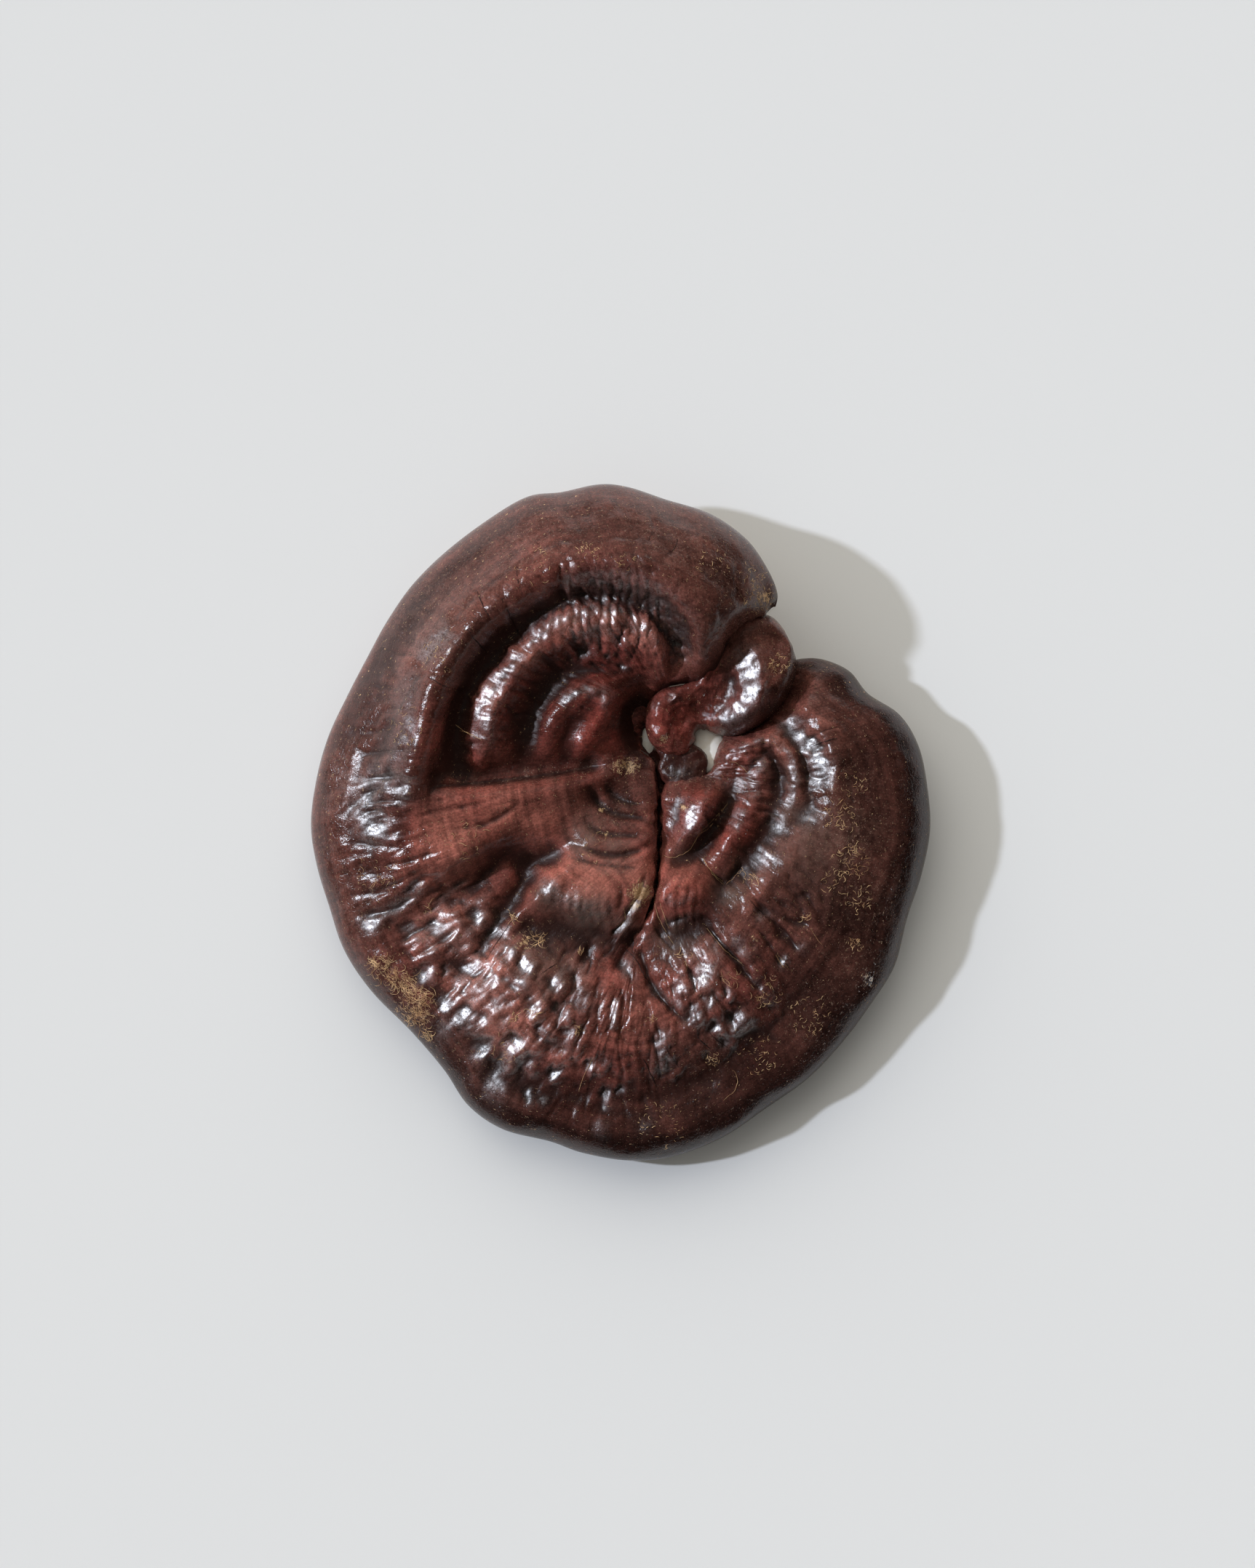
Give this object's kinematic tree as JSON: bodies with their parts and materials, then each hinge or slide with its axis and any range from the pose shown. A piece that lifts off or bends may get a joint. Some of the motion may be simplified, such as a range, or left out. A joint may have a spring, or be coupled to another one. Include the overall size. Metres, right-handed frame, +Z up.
{
  "type": "dried reishi mushroom",
  "caption": "Dried reishi: a thick, lacquered, ear-shaped cap curled round the cut stub of its stem, with a small kidney lobe in its notch; it lies on a table.",
  "frame": {"origin": "on the table, below the middle of the cap's outline", "axes": "+Z up from the table, +Y along the cap's longest width, towards its high end, +X towards the lobe that ends the cap on the other side of the notch"},
  "size_m": [0.151, 0.1644, 0.0394],
  "materials": {
    "lacquered_crust": "gloss",
    "pore_surface": "matte"
  },
  "bodies": {
    "root": {"fruiting_body": "lacquered_crust"}
  },
  "joints": []
}
